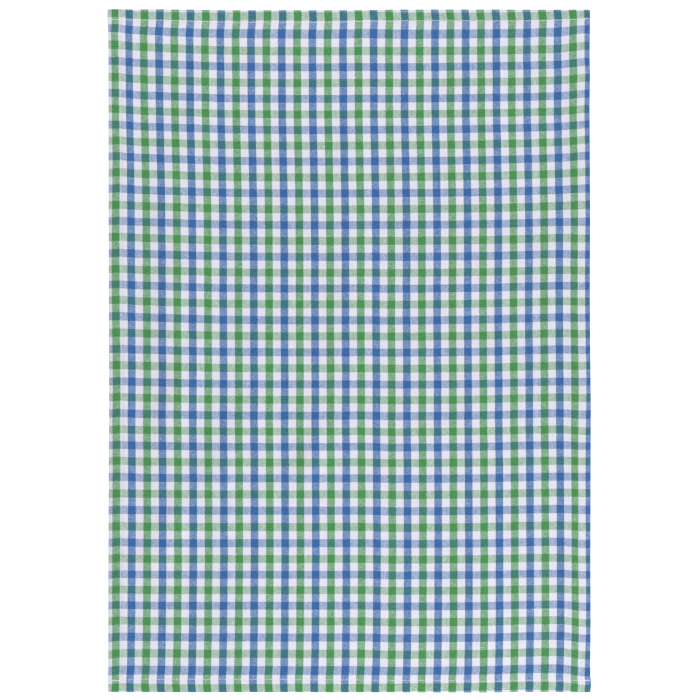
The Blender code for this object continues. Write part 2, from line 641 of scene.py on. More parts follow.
class WeftShift(NamedTuple):
    """How far the horizontal stripes are below an even grid, at a distance below the top edge."""

    down_mm: float
    middle_mm: float
    kink_mm: float  # how far they step down on crossing the pressed centre fold
    left_pull_mm: float  # how much higher they are towards the left edge than in mid-width
    right_pull_mm: float  # and towards the right edge
    left_tuck_mm: float  # how far they turn down again beside the left edge
    right_tuck_mm: float  # and beside the right edge


class SideHemShift(NamedTuple):
    """How far the horizontal stripes turn down on the side hems, below the top edge."""

    down_mm: float
    left_mm: float
    right_mm: float


class EndHemShift(NamedTuple):
    """How far the vertical stripes jog to the right on the end hems, from the left edge on."""

    across_mm: float
    top_mm: float
    foot_mm: float


class Pucker(NamedTuple):
    """How far the sewing puckers a row of checks downwards, at a distance from the left edge."""

    across_mm: float
    down_mm: float


# Side edges and side seams are measured from the top corner, those of the ends from the left one.
LEFT_EDGE = (
    EdgePoint(0, 1.0),
    EdgePoint(9, 1.0),
    EdgePoint(14, 0.6),
    EdgePoint(60, 0.2),
    EdgePoint(230, 0.0),
    EdgePoint(400, -0.5),
    EdgePoint(500, 0.0),
    EdgePoint(600, 0.3),
    EdgePoint(700, 0.3),
)
RIGHT_EDGE = (
    EdgePoint(0, -0.1),
    EdgePoint(50, -0.4),
    EdgePoint(65, 0.0),
    EdgePoint(100, -0.5),
    EdgePoint(210, 0.2),
    EdgePoint(280, -0.2),
    EdgePoint(320, 0.0),
    EdgePoint(410, 0.8),
    EdgePoint(560, 0.4),
    EdgePoint(630, 0.6),
    EdgePoint(675, 0.2),
    EdgePoint(684, 0.2),
    EdgePoint(688, 0.8),
    EdgePoint(690, 1.1),
    EdgePoint(694, 1.1),
    EdgePoint(696, 0.3),
    EdgePoint(700, 0.5),
)
TOP_EDGE = (
    EdgePoint(0, 0.6),
    EdgePoint(26, 0.4),
    EdgePoint(50, 0.6),
    EdgePoint(80, 0.3),
    EdgePoint(120, -0.3),
    EdgePoint(245, -0.4),
    EdgePoint(290, 0.3),
    EdgePoint(345, 0.4),
    EdgePoint(494, 0.1),
)
FOOT_EDGE = (
    EdgePoint(0, 0.3),
    EdgePoint(90, 0.3),
    EdgePoint(150, 0.1),
    EdgePoint(200, 0.4),
    EdgePoint(390, 0.7),
    EdgePoint(425, 0.1),
    EdgePoint(455, 0.2),
    EdgePoint(494, 0.4),
)
# The seams follow the hems, which aren't equally wide all along.
TOP_SEAM = (
    EdgePoint(0, 1.4),
    EdgePoint(42, 1.1),
    EdgePoint(89, -0.1),
    EdgePoint(166, -1.0),
    EdgePoint(207, -0.7),
    EdgePoint(263, 0.1),
    EdgePoint(335, 0.8),
    EdgePoint(402, 0.5),
    EdgePoint(448, 1.1),
    EdgePoint(478, 1.7),
    EdgePoint(494, 3.0),
)
FOOT_SEAM = (
    EdgePoint(0, -0.4),
    EdgePoint(12, -0.5),
    EdgePoint(30, -1.5),
    EdgePoint(75, -1.4),
    EdgePoint(120, -1.5),
    EdgePoint(176, -1.3),
    EdgePoint(238, -1.1),
    EdgePoint(300, -0.6),
    EdgePoint(350, -0.5),
    EdgePoint(385, -0.1),
    EdgePoint(405, 0.4),
    EdgePoint(430, -0.3),
    EdgePoint(448, -0.6),
    EdgePoint(494, -0.6),
)
LEFT_SEAM = (
    EdgePoint(0, 0.2),
    EdgePoint(62, 0.2),
    EdgePoint(125, -0.4),
    EdgePoint(240, -0.4),
    EdgePoint(308, -0.6),
    EdgePoint(431, -0.9),
    EdgePoint(493, -1.0),
    EdgePoint(554, -0.6),
    EdgePoint(616, -0.4),
    EdgePoint(678, -0.1),
    EdgePoint(700, -0.1),
)
RIGHT_SEAM = (
    EdgePoint(0, -0.4),
    EdgePoint(40, -0.3),
    EdgePoint(110, 0.0),
    EdgePoint(290, 0.2),
    EdgePoint(320, 0.4),
    EdgePoint(350, 0.0),
    EdgePoint(500, -0.2),
    EdgePoint(555, -0.4),
    EdgePoint(600, 0.0),
    EdgePoint(650, 0.4),
    EdgePoint(680, 0.6),
    EdgePoint(700, 0.6),
)
SOFT_FOLDS = (
    SoftFold("centre fold", (5, 352), (3, -70), 0, 18, 1.2),
    SoftFold("half fold", (-250, 1), (250, -1), 0, 13, 0.8),
    SoftFold("top left drag", (-146, 300), (-192, 170), 5, 20, 1.1),
    SoftFold("top right drag", (112, 312), (192, 150), -7, 20, 1.9),
    SoftFold("upper right drag", (60, 172), (116, 24), -5, 19, 1.7),
    SoftFold("lower right drag", (104, -46), (166, -152), -4, 22, 1.2),
    SoftFold("middle drag", (0, -40), (-84, -162), 6, 18, 1.5),
    SoftFold("left drag", (-80, -26), (-164, -172), 7, 20, 1.5),
    SoftFold("left wave", (-178, 205), (-174, -140), 4, 24, 2.0),
    SoftFold("left foot drag", (-160, -150), (-228, -238), 4, 18, 1.3),
    SoftFold("right wave", (200, 140), (212, 20), -3, 18, 0.9),
    SoftFold("foot wave", (110, -200), (190, -310), -6, 34, 1.0),
)
WARP_SHIFTS = (
    WarpShift(0, -2.0, -0.5, 0.4, -2.6),
    WarpShift(10, -1.2, 0.0, 0.7, -2.0),
    WarpShift(24, -1.9, 0.4, -0.2, -1.7),
    WarpShift(60, -1.9, 0.3, 0.1, -1.2),
    WarpShift(110, -1.5, 0.2, 0.4, -1.4),
    WarpShift(155, -0.7, 0.0, 1.0, -1.0),
    WarpShift(200, -0.1, -0.1, 0.4, -1.0),
    WarpShift(260, 0.3, -0.2, -0.2, -1.3),
    WarpShift(330, 0.2, -0.4, 0.2, -1.0),
    WarpShift(380, 0.2, -0.4, 0.7, -0.4),
    WarpShift(420, 0.0, -0.3, 0.3, -1.3),
    WarpShift(470, 0.7, -0.3, 0.8, -1.6),
    WarpShift(560, 1.2, -0.2, 0.6, -1.0),
    WarpShift(640, 0.8, 0.1, 0.7, -0.9),
    WarpShift(676, 0.4, 0.4, 0.6, -2.0),
    WarpShift(690, -0.7, 0.6, 0.7, -2.3),
    WarpShift(700, 0.0, 0.4, 0.3, -1.9),
)
WEFT_SHIFTS = (
    WeftShift(0, -0.6, 0.2, 1.0, 1.0, -2.4, 0.4),
    WeftShift(10, 0.1, 0.1, 2.6, 1.8, -2.0, -0.7),
    WeftShift(19, 0.7, 0.1, 4.4, 2.2, -1.8, -2.5),
    WeftShift(28, 1.9, 0.3, 5.6, 2.6, -1.2, -2.6),
    WeftShift(45, 2.7, 0.4, 6.1, 3.4, -0.8, -2.5),
    WeftShift(85, 2.4, 0.3, 4.6, 3.8, -1.9, -1.6),
    WeftShift(134, 1.2, 0.0, 4.8, 4.7, -0.7, -1.4),
    WeftShift(160, 1.0, 0.0, 4.6, 4.9, -1.3, -0.7),
    WeftShift(182, 1.1, 0.0, 4.3, 4.7, -1.1, -0.4),
    WeftShift(205, 1.2, 0.1, 4.3, 4.6, -0.5, 0.3),
    WeftShift(231, 0.9, 0.2, 4.0, 4.2, -0.6, 2.0),
    WeftShift(265, 1.1, 0.3, 4.0, 4.0, -0.4, 2.0),
    WeftShift(300, 0.7, 0.5, 4.4, 4.6, -0.9, 1.9),
    WeftShift(340, 0.9, 0.4, 4.2, 4.5, 0.4, 2.3),
    WeftShift(380, 1.2, 0.5, 3.2, 4.2, -0.5, 1.6),
    WeftShift(404, 0.5, 0.5, 2.6, 4.1, -0.8, 2.7),
    WeftShift(428, 0.7, 0.6, 2.2, 3.5, -0.6, 3.4),
    WeftShift(452, -0.2, 0.6, 1.7, 3.2, -0.9, 2.3),
    WeftShift(476, -0.4, 0.5, 1.0, 2.8, -1.3, 1.1),
    WeftShift(500, -0.3, 0.5, 0.9, 2.9, -0.4, 1.4),
    WeftShift(527, 0.5, 0.6, 0.7, 2.8, -0.6, 2.5),
    WeftShift(550, 0.9, 0.5, 0.4, 2.4, -1.4, 3.4),
    WeftShift(575, 0.5, 0.5, 0.3, 2.0, -0.8, 2.3),
    WeftShift(600, -0.2, 0.5, 0.4, 2.3, -1.1, 2.6),
    WeftShift(623, -0.6, 0.6, 0.8, 2.5, -1.0, 4.6),
    WeftShift(645, -0.5, 0.6, 1.3, 3.1, -0.1, 4.1),
    WeftShift(664, 0.1, 0.6, 1.3, 3.4, 0.5, 5.2),
    WeftShift(676, 0.3, 0.4, 0.8, 3.1, -0.2, 4.9),
    WeftShift(691, 1.5, -0.4, -0.3, 3.1, -0.5, 4.7),
    WeftShift(700, 1.4, -0.2, -0.2, 3.0, -0.8, 3.6),
)
SIDE_HEM_SHIFTS = (
    SideHemShift(15, 0.9, 0.5),
    SideHemShift(120, 1.0, 0.0),
    SideHemShift(165, 1.7, 0.0),
    SideHemShift(210, 1.3, -0.1),
    SideHemShift(300, 1.2, -0.5),
    SideHemShift(335, 0.6, -0.4),
    SideHemShift(400, 1.2, -0.7),
    SideHemShift(470, 1.1, -0.2),
    SideHemShift(530, 1.0, -0.4),
    SideHemShift(610, 1.4, -0.7),
    SideHemShift(680, 1.3, -1.0),
)
END_HEM_SHIFTS = (
    EndHemShift(3, 0.8, 0.0),
    EndHemShift(10, 0.1, -0.2),
    EndHemShift(16, 0.1, -0.2),
    EndHemShift(47, 0.8, 0.3),
    EndHemShift(78, 0.8, 0.4),
    EndHemShift(109, 0.8, 0.7),
    EndHemShift(139, 1.1, 0.4),
    EndHemShift(170, 1.3, 0.8),
    EndHemShift(201, 0.5, -0.1),
    EndHemShift(232, 0.6, 0.0),
    EndHemShift(263, 0.1, -0.6),
    EndHemShift(310, 0.4, -0.3),
    EndHemShift(356, -0.2, -0.4),
    EndHemShift(387, -0.6, -0.5),
    EndHemShift(418, -0.2, -0.1),
    EndHemShift(448, 0.2, -0.1),
    EndHemShift(479, 0.2, -0.5),
)
TOP_PUCKERS = (
    Pucker(0, 0.3),
    Pucker(50, 0.8),
    Pucker(93, 0.7),
    Pucker(119, 0.0),
    Pucker(170, -0.8),
    Pucker(221, -0.3),
    Pucker(270, -1.0),
    Pucker(298, 0.3),
    Pucker(375, 0.7),
    Pucker(430, 0.5),
    Pucker(478, -0.3),
)
FOOT_PUCKERS = (
    Pucker(0, -0.5),
    Pucker(30, -0.3),
    Pucker(62, 0.6),
    Pucker(108, 1.0),
    Pucker(172, 0.6),
    Pucker(190, 0.0),
    Pucker(297, 0.1),
    Pucker(312, -0.3),
    Pucker(375, -0.7),
    Pucker(422, -0.5),
    Pucker(454, 0.9),
    Pucker(486, 0.2),
)


def column(rows: Sequence[NamedTuple], name: str, at: np.ndarray) -> np.ndarray:
    """Reads one column of a table of shifts, on straight lines from row to row.

    Args:
        rows: The table, in millimetres. Its first column holds the rows' places.
        name: The column's name.
        at: The places where it is read, in metres.

    Returns:
        The shifts at those places, in metres.
    """
    places = [row[0] * MM for row in rows]
    shifts = [getattr(row, name) * MM for row in rows]
    return np.interp(at, places, shifts)


def outward(line: Sequence[EdgePoint], along: np.ndarray) -> np.ndarray:
    """How far an edge or a seam stands out at each place along it, in metres."""
    return column(line, "outward_mm", along)


@dataclass(frozen=True)
class LaidTowel:
    """The outline and the soft folds of the towel as it lies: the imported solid's, a little finer."""

    width: float = 494 * MM
    length: float = 700 * MM
    corner_cut: float = 0.25 * MM  # how far a corner is drawn in
    corner_reach: float = 1.5 * MM
    fade: float = 0.3  # the share of a fold's length over which each end rises
    pressed_flat: float = 0.15 * MM  # what the cloth's own weight takes off a lift
    softness: float = 0.12 * MM  # of the passage to where it lies flat
    ripple_rise: float = 0.05 * MM
    ripple_length: float = 40 * MM  # of a ripple that has this rise
    ripple_lengths_mm: tuple[float, float] = (14, 60)  # the shortest and the longest
    ripple_count: int = 60
    ripple_seed: int = 7
    on_thread: float = 0.14 * MM  # the stitches underneath hold the cloth this far up

    def outline(self, x: np.ndarray, y: np.ndarray) -> tuple[np.ndarray, np.ndarray]:
        """Moves straight towel places to the uneven edges and the drawn-in corners.

        Each edge's shift counts in full at that edge and fades evenly to nothing at the opposite
        one. A corner is drawn in by a cut that falls off with the distance from it.

        Args:
            x: Places across the towel, from its middle.
            y: Places along it, from its middle.

        Returns:
            The moved places.
        """
        from_left = (x + self.width / 2) / self.width
        from_top = (self.length / 2 - y) / self.length
        left = outward(LEFT_EDGE, from_top * self.length) * (1 - from_left)
        right = outward(RIGHT_EDGE, from_top * self.length) * from_left
        top = outward(TOP_EDGE, from_left * self.width) * (1 - from_top)
        foot = outward(FOOT_EDGE, from_left * self.width) * from_top
        to_corner = (self.width / 2 - np.abs(x)) + (self.length / 2 - np.abs(y))
        cut = self.corner_cut * np.exp(-np.maximum(to_corner, 0) / self.corner_reach)
        return x + right - left - cut * np.sign(x), y + top - foot - cut * np.sign(y)

    def fold_rise(self, x: np.ndarray, y: np.ndarray, fold: SoftFold) -> np.ndarray:
        """How far one fold lifts the cloth.

        That is a bell of the distance to the fold's line, which is bowed as a parabola is, times an
        S-curve that rises from each of its ends.

        Args:
            x: Places across the towel, from its middle.
            y: Places along it, from its middle.
            fold: The fold.

        Returns:
            The lift, in metres.
        """
        start = np.array(fold.start_mm) * MM
        run = np.array(fold.end_mm) * MM - start
        length = np.hypot(*run)
        along = ((x - start[0]) * run[0] + (y - start[1]) * run[1]) / length**2
        aside = ((y - start[1]) * run[0] - (x - start[0]) * run[1]) / length
        aside = aside - fold.bow_mm * MM * 4 * along * (1 - along)
        ends = smooth_step(along / self.fade) * smooth_step((1 - along) / self.fade)
        return fold.rise_mm * MM * ends * bell(aside / (fold.half_width_mm * MM))

    def ripples(self, x: np.ndarray, y: np.ndarray) -> np.ndarray:
        """Slight unevenness: a sum of plane waves with seeded directions, lengths and phases.

        Args:
            x: Places across the towel, from its middle.
            y: Places along it, from its middle.

        Returns:
            The height, in metres, above and below 0. A longer wave is higher.
        """
        draw = np.random.default_rng(self.ripple_seed)
        total = np.zeros_like(x)
        for _ in range(self.ripple_count):
            turn, phase = draw.uniform(0, math.tau, 2)
            wave = draw.uniform(*self.ripple_lengths_mm) * MM
            height = self.ripple_rise * wave / self.ripple_length
            aim = x * math.cos(turn) + y * math.sin(turn)
            total += height * np.cos(math.tau * aim / wave + phase)
        return total

    def lift(self, x: np.ndarray, y: np.ndarray) -> np.ndarray:
        """How far the underside stands off the surface: the folds and ripples, settled on it.

        Args:
            x: Places across the towel, from its middle.
            y: Places along it, from its middle.

        Returns:
            The height above the surface, in metres.
        """
        folds = sum(self.fold_rise(x, y, fold) for fold in SOFT_FOLDS)
        raised = folds + self.ripples(x, y) - self.pressed_flat
        return soft_floor(raised, self.softness) + self.on_thread

    def place(self, x: np.ndarray, y: np.ndarray, height: np.ndarray) -> np.ndarray:
        """The points of the laid towel.

        Args:
            x: Straight places across the towel, from its middle.
            y: Straight places along it, from its middle.
            height: How far the point is above the cloth's underside there.

        Returns:
            The points, stacked on a new last axis.
        """
        across, along = self.outline(x, y)
        return np.stack([across, along, self.lift(across, along) + height], axis=-1)


@dataclass(frozen=True)
class Grain:
    """How the yarns run in the laid towel: slightly bowed and skewed, as pressing leaves them."""

    towel: LaidTowel
    first_warp_stripe: float = -243.86 * MM  # the left edge of the first green stripe
    first_weft_stripe: float = 338.75 * MM  # the lower edge of the top green stripe
    bend: float = 2.8  # the power by which the pulls at the sides grow
    edge_reach: float = 20 * MM  # how far the shifts beside the edges reach in
    kink_at: float = 28 * MM  # the middle of the step at the centre fold
    kink_width: float = 12 * MM
    kink_reach: float = 90 * MM  # where the step has faded out
    top_pucker_reach: float = 30 * MM
    foot_pucker_reach: float = 14 * MM
    side_hem_reach: float = 7 * MM
    end_hem_reach: float = 15 * MM

    def warp_shift(self, x: np.ndarray, down: np.ndarray) -> np.ndarray:
        """How far the vertical stripes are to the right of an even grid.

        Away from the sides that is the middle's shift plus the spread times the share of the way
        out. Beside an edge it turns into that edge's own shift, by a bell of the distance from it.
        The jogs on the end hems are added by a bell of the distance from each end.

        Args:
            x: Straight places across the towel.
            down: Distances below the top edge.

        Returns:
            The shifts, in metres.
        """
        half = self.towel.width / 2
        shift = column(WARP_SHIFTS, "middle_mm", down)
        shift = shift + column(WARP_SHIFTS, "spread_mm", down) * x / half
        for name, inward in (("left_mm", half + x), ("right_mm", half - x)):
            share = bell(inward / self.edge_reach)
            shift = shift + (column(WARP_SHIFTS, name, down) - shift) * share
        for name, inward in (("top_mm", down), ("foot_mm", self.towel.length - down)):
            jog = column(END_HEM_SHIFTS, name, x + half)
            shift = shift + jog * bell(inward / self.end_hem_reach)
        return shift

    def weft_shift(self, x: np.ndarray, down: np.ndarray) -> np.ndarray:
        """How far the horizontal stripes are below an even grid.

        That is the middle's shift, less each side's pull times a power of the share of the way out,
        plus the tuck at each edge times a bell of the distance from it, and the side hem's own shift
        times a narrower bell. At the centre fold a soft step within a wide bell takes the stripes up
        on its left and down on its right. The sewing's puckers count by a bell of the distance from
        their end of the towel.

        Args:
            x: Straight places across the towel.
            down: Distances below the top edge.

        Returns:
            The shifts, in metres.
        """
        half = self.towel.width / 2
        shift = column(WEFT_SHIFTS, "middle_mm", down)
        for side, sign in (("left", -1), ("right", 1)):
            pull = column(WEFT_SHIFTS, f"{side}_pull_mm", down)
            tuck = column(WEFT_SHIFTS, f"{side}_tuck_mm", down)
            on_hem = column(SIDE_HEM_SHIFTS, f"{side}_mm", down)
            out = sign * x / half
            inward = (1 - out) * half
            shift = shift - pull * np.maximum(out, 0) ** self.bend
            shift = shift + tuck * bell(inward / self.edge_reach)
            shift = shift + on_hem * bell(inward / self.side_hem_reach)
        from_fold = x - self.kink_at
        step = from_fold / np.hypot(from_fold, self.kink_width) * bell(from_fold / self.kink_reach)
        shift = shift + column(WEFT_SHIFTS, "kink_mm", down) * step
        top = column(TOP_PUCKERS, "down_mm", x + half) * bell(down / self.top_pucker_reach)
        from_foot = self.towel.length - down
        foot = column(FOOT_PUCKERS, "down_mm", x + half) * bell(from_foot / self.foot_pucker_reach)
        return shift + top + foot

    def cloth_places(
        self, x: np.ndarray, y: np.ndarray, over_x: np.ndarray, over_y: np.ndarray
    ) -> tuple[np.ndarray, np.ndarray]:
        """The yarn coordinates of places on the laid towel: the places without the checks' shifts.

        Args:
            x: Straight places across the towel, held to its edges.
            y: Straight places along it, held to its edges.
            over_x: How far past the side edge the cloth has gone on into its hem.
            over_y: How far past the end edge.

        Returns:
            Distances from the first green stripes' edges, across and along.
        """
        down = self.towel.length / 2 - y
        across = x - self.warp_shift(x, down) + over_x - self.first_warp_stripe
        along = y + self.weft_shift(x, down) + over_y - self.first_weft_stripe
        return across, along


# ---------------------------------------------------------------------------------------------
# Cloth
# ---------------------------------------------------------------------------------------------


class Section(NamedTuple):
    """A hemmed sheet cut across two opposite hems, line by line from raw edge to raw edge."""

    place: np.ndarray  # from the middle, positive towards the second hem
    height: np.ndarray  # above the pile's underside
    flat: np.ndarray  # the place, held to where the face layer has it
    over: np.ndarray  # how far the cloth has gone on past the face layer


def even_shares(count: int) -> np.ndarray:
    """That many even shares in a column, from 0 up and without the 1 that comes next."""
    return np.linspace(0, 1, count + 1)[:-1, None]


@dataclass(frozen=True)
class TurnedHem:
    """A hem turned under twice and pressed, seen in a cut across it.

    The face layer is on top. At the edge it turns under and comes back as the bottom layer, turns up
    at the hem's inner fold and goes out again as the middle layer, to its raw edge. Each turn is a
    half ellipse: its height is that of the layers and its depth that height times the squash.
    """

    width: float
    turn: float = 8.4 * MM  # the middle layer's run, from the inner fold to its raw edge
    gap: float = 0.03 * MM  # between two layers
    fall: float = 19.0 * MM  # where the face comes down from the hem to the field
    squash: float = 0.55
    stitched_at: float = 12.0 * MM  # from the edge
    groove: float = 0.16 * MM
    groove_reach: float = 0.9 * MM
    groove_lines: tuple[float, ...] = (-1.5 * MM, -0.8 * MM, -0.3 * MM, 0.0, 0.3 * MM)
    run_lines: int = 3  # on each layer's run
    inner_lines: int = 5  # around the inner fold
    outer_lines: int = 6  # around the edge
    fall_lines: int = 7
    around_outer: float = 1.1 * MM  # the cloth's length around the edge
    around_inner: float = 0.7 * MM  # and around the inner fold
    in_turns: float = 1.0 * MM  # of the hem's width, which the bottom layer doesn't run straight

    def half_height(self, pile: np.ndarray) -> np.ndarray:
        """Half the height of the three layers and their two gaps: where the outer turn's middle is."""
        return 1.5 * pile + self.gap

    def lifted(self, pile: np.ndarray) -> np.ndarray:
        """How far the two turned layers lift the face layer."""
        return 2 * (pile + self.gap)

    def raised(self, inward: np.ndarray) -> np.ndarray:
        """1 on the hem and 0 on the field, with an S-curve where the cloth comes down from it."""
        return 1 - smooth_step((inward - self.width) / self.fall)

    def sewn_in(self, inward: np.ndarray) -> np.ndarray:
        """How deep the seam draws the face in: a bell of the distance from the stitched line."""
        return self.groove * bell((inward - self.stitched_at) / self.groove_reach)

    def seam_share(self, inward: np.ndarray) -> np.ndarray:
        """1 from the seam to the inner fold, with S-curves down to 0 at the edge and on the field."""
        return smooth_step(inward / self.stitched_at) * self.raised(inward)

    def end_lines(self, pile: np.ndarray, level: np.ndarray) -> tuple[np.ndarray, ...]:
        """The lines of one hem, from the raw edge to the field.

        Args:
            pile: The thickness of what is folded, at each place along the hem.
            level: The height in the pile of the surface that is followed, at each place.

        Returns:
            The distance inward from the edge, the height, and how far the cloth has gone on past the
            face layer, each with one row for each line.
        """
        on_run, on_fall = even_shares(self.run_lines), even_shares(self.fall_lines)
        on_inner, on_outer = even_shares(self.inner_lines), even_shares(self.outer_lines)
        inner_height, outer_height = pile + self.gap / 2, self.half_height(pile)
        inner = self.width - self.squash * inner_height
        outer = self.squash * outer_height
        tight, wide = self.gap / 2 + level, pile / 2 + self.gap + level
        inner_turn, outer_turn = on_inner * math.pi, on_outer * math.pi
        top = outer + (self.stitched_at + self.groove_lines[0] - outer) * on_run
        sewn = self.stitched_at + np.array(self.groove_lines)[:, None]
        down = self.width + self.fall * on_fall
        on_top = self.lifted(pile) + level
        rows = [
            (inner - self.turn * (1 - on_run), pile + self.gap + level),
            (
                inner + self.squash * tight * np.sin(inner_turn),
                inner_height + tight * np.cos(inner_turn),
            ),
            (inner + (outer - inner) * on_run, pile - level),
            (
                outer - self.squash * wide * np.sin(outer_turn),
                outer_height - wide * np.cos(outer_turn),
            ),
            (top, on_top),
            (sewn, on_top - self.sewn_in(sewn)),
            (down, self.lifted(pile) * self.raised(down) + level),
        ]
        columns = np.broadcast_shapes(pile.shape, level.shape)[-1]
        shapes = [(len(places), columns) for places, _ in rows]
        inward, height = (
            np.concatenate([np.broadcast_to(*pair) for pair in zip(values, shapes)])
            for values in zip(*rows)
        )
        bottom_run = self.width - self.in_turns
        over = np.concatenate(
            [
                self.around_outer + bottom_run + self.around_inner + self.turn * (1 - on_run),
                self.around_outer + bottom_run + self.around_inner * (1 - on_inner),
                self.around_outer + bottom_run * (1 - on_run),
                self.around_outer * (1 - on_outer),
                np.zeros((len(top) + len(sewn) + len(down), 1)),
            ]
        )
        return inward, height, np.broadcast_to(over, inward.shape)

    def section(
        self,
        half: float,
        pile: np.ndarray,
        level: np.ndarray,
        field_lines: int,
        seams: tuple[np.ndarray, np.ndarray],
    ) -> Section:
        """The whole cut, with a hem at each side of the middle.

        Args:
            half: The distance from the middle to the outer edge.
            pile: The thickness of what is folded, in one row.
            level: The height in the pile of the surface that is followed, in one row.
            field_lines: The number of lines between the two hems.
            seams: How far outwards the first and the second hem's seams are shifted, in one row.

        Returns:
            The section, with one row for each line.
        """
        inward, height, over = self.end_lines(pile, level)
        share = self.seam_share(inward)
        start = half - self.width - self.fall
        field_place = np.linspace(-start, start, field_lines)[:, None]
        spread = np.ones((1, inward.shape[1]))
        edge = half - self.squash * self.half_height(pile) * spread
        first, second = (half - inward + share * shift for shift in seams)
        place = np.concatenate([-first, field_place * spread, second[::-1]])
        heights = np.concatenate([height, level * spread + 0 * field_place, height[::-1]])
        zero = 0 * field_place * spread
        first, second = (np.where(over > 0, edge, reached) for reached in (first, second))
        flat = np.concatenate([-first, field_place * spread, second[::-1]])
        return Section(place, heights, flat, np.concatenate([-over, zero, over[::-1]]))


@dataclass(frozen=True)
class TowelCloth:
    """The cloth: one cut of cotton, hemmed at the sides first and then at the ends."""

    towel: LaidTowel
    grain: Grain
    finish: CheckedCotton
    thick: float = 0.38 * MM
    corner_press: float = 0.38  # the share of their height that the nine layers of a corner lose
    side_hem: TurnedHem = field(default_factory=lambda: TurnedHem(width=12.9 * MM))
    end_hem: TurnedHem = field(default_factory=lambda: TurnedHem(width=12.9 * MM))
    lines_across: int = 122
    lines_along: int = 176

    def pile(self, x: np.ndarray) -> np.ndarray:
        """The height of the side-hemmed cloth's face above its back at places across the towel."""
        hem = self.side_hem
        return self.thick + hem.lifted(self.thick) * hem.raised(self.towel.width / 2 - np.abs(x))

    def seams(self, x: np.ndarray) -> tuple[np.ndarray, np.ndarray]:
        """How far outwards the foot hem's and the top hem's seams are shifted at places across."""
        across = x + self.towel.width / 2
        return outward(FOOT_SEAM, across), outward(TOP_SEAM, across)

    def side_shift(self, x: np.ndarray, y: np.ndarray) -> np.ndarray:
        """How far to the right a place is moved because the side hems aren't equally wide all along.

        Args:
            x: Straight places across the towel, from its middle.
            y: Straight places along it, from its middle.

        Returns:
            The shift of the nearer side's seam at that height, times the seam's share of the place.
        """
        down = self.towel.length / 2 - y
        left, right = outward(LEFT_SEAM, down), outward(RIGHT_SEAM, down)
        share = self.side_hem.seam_share(self.towel.width / 2 - np.abs(x))
        return share * np.where(x > 0, right, -left)

    def from_end(self, x: np.ndarray, y: np.ndarray) -> np.ndarray:
        """How far inward from the nearer end a place is, as if that end's seam were not shifted.

        Args:
            x: Straight places across the towel, from its middle.
            y: Straight places along it, from its middle.

        Returns:
            The distances, in metres.
        """
        foot, top = self.seams(x)
        inward = self.towel.length / 2 - np.abs(y)
        return inward + self.end_hem.seam_share(inward) * np.where(y > 0, top, foot)

    def pressed(self, x: np.ndarray, y: np.ndarray) -> np.ndarray:
        """The share of its height that the pile keeps, which is less than 1 only at the corners.

        Args:
            x: Straight places across the towel, from its middle.
            y: Straight places along it, from its middle.

        Returns:
            1 less the corner press times the rises of both hems.
        """
        side = self.side_hem.raised(self.towel.width / 2 - np.abs(x))
        end = self.end_hem.raised(self.towel.length / 2 - np.abs(y))
        return 1 - self.corner_press * side * end

    def top(self, x: np.ndarray, y: np.ndarray) -> np.ndarray:
        """The height of the face above the towel's underside.

        Args:
            x: Straight places across the towel, from its middle.
            y: Straight places along it, from its middle.

        Returns:
            The layers there, less the seams' grooves, as far as the corners' pressing leaves them.
        """
        hem, pile, inward = self.end_hem, self.pile(x), self.from_end(x, y)
        side_seam = self.side_hem.sewn_in(self.towel.width / 2 - np.abs(x))
        layers = pile + hem.lifted(pile) * hem.raised(inward)
        return (layers - side_seam - hem.sewn_in(inward)) * self.pressed(x, y)

    def surface(self, side: float) -> tuple[np.ndarray, np.ndarray]:
        """One of the cloth's two surfaces as a grid.

        Args:
            side: 0 for the back and 1 for the face.

        Returns:
            The points and their map places, each with a row for each line along the towel.
        """
        one = np.ones((1, 1))
        across = self.side_hem.section(
            half=self.towel.width / 2,
            pile=self.thick * one,
            level=side * self.thick * one,
            field_lines=self.lines_across,
            seams=(0 * one, 0 * one),
        )
        x = across.place.T
        along = self.end_hem.section(
            half=self.towel.length / 2,
            pile=self.pile(x),
            level=across.height.T,
            field_lines=self.lines_along,
            seams=self.seams(x),
        )
        x = np.broadcast_to(x, along.place.shape)
        aside = self.side_shift(x, along.place)
        height = along.height * self.pressed(x, along.place)
        points = self.towel.place(x + aside, along.place, height)
        flat_x = across.flat.T + np.where(across.over.T == 0, aside, 0)
        yarns = self.grain.cloth_places(flat_x, along.flat, across.over.T, along.over)
        return points, self.finish.yarn_map(*yarns)

    def build(self) -> bpy.types.Object:
        """Joins the face and the back with a wall at the raw edges, and dresses the cloth.

        Returns:
            The cloth.
        """
        back, back_map = self.surface(0.0)
        face, face_map = self.surface(1.0)
        rows, columns, _ = face.shape
        cells, rim = grid_quads(rows, columns), grid_rim(rows, columns)
        count = rows * columns
        following = np.roll(rim, -1)
        wall = np.stack([rim, following, following + count, rim + count], axis=1)
        faces = np.concatenate([cells[:, ::-1], cells + count, wall])
        points = np.concatenate([back.reshape(-1, 3), face.reshape(-1, 3)])
        places = np.concatenate([back_map.reshape(-1, 2), face_map.reshape(-1, 2)])
        middle = np.round(places.mean(axis=0))
        cloth = new_piece("checked_cloth", points, faces, places - middle)
        cloth.data.materials.append(self.finish.material())
        return cloth


# ---------------------------------------------------------------------------------------------
# Sewing
# ---------------------------------------------------------------------------------------------


class Run(NamedTuple):
    """Stitches one after another: where each one's middle is and which way it points."""

    x: np.ndarray
    y: np.ndarray
    turned: np.ndarray  # 0 where a stitch runs across the towel and 1 where it runs along it


class BackTack(NamedTuple):
    """Where the thread of an end hem goes back over itself, at one corner."""

    side: int  # -1 for the left and 1 for the right
    end: int  # -1 for the foot and 1 for the top
    passes: int


BACK_TACKS = (BackTack(-1, -1, 3), BackTack(1, -1, 3), BackTack(1, 1, 3), BackTack(-1, 1, 1))


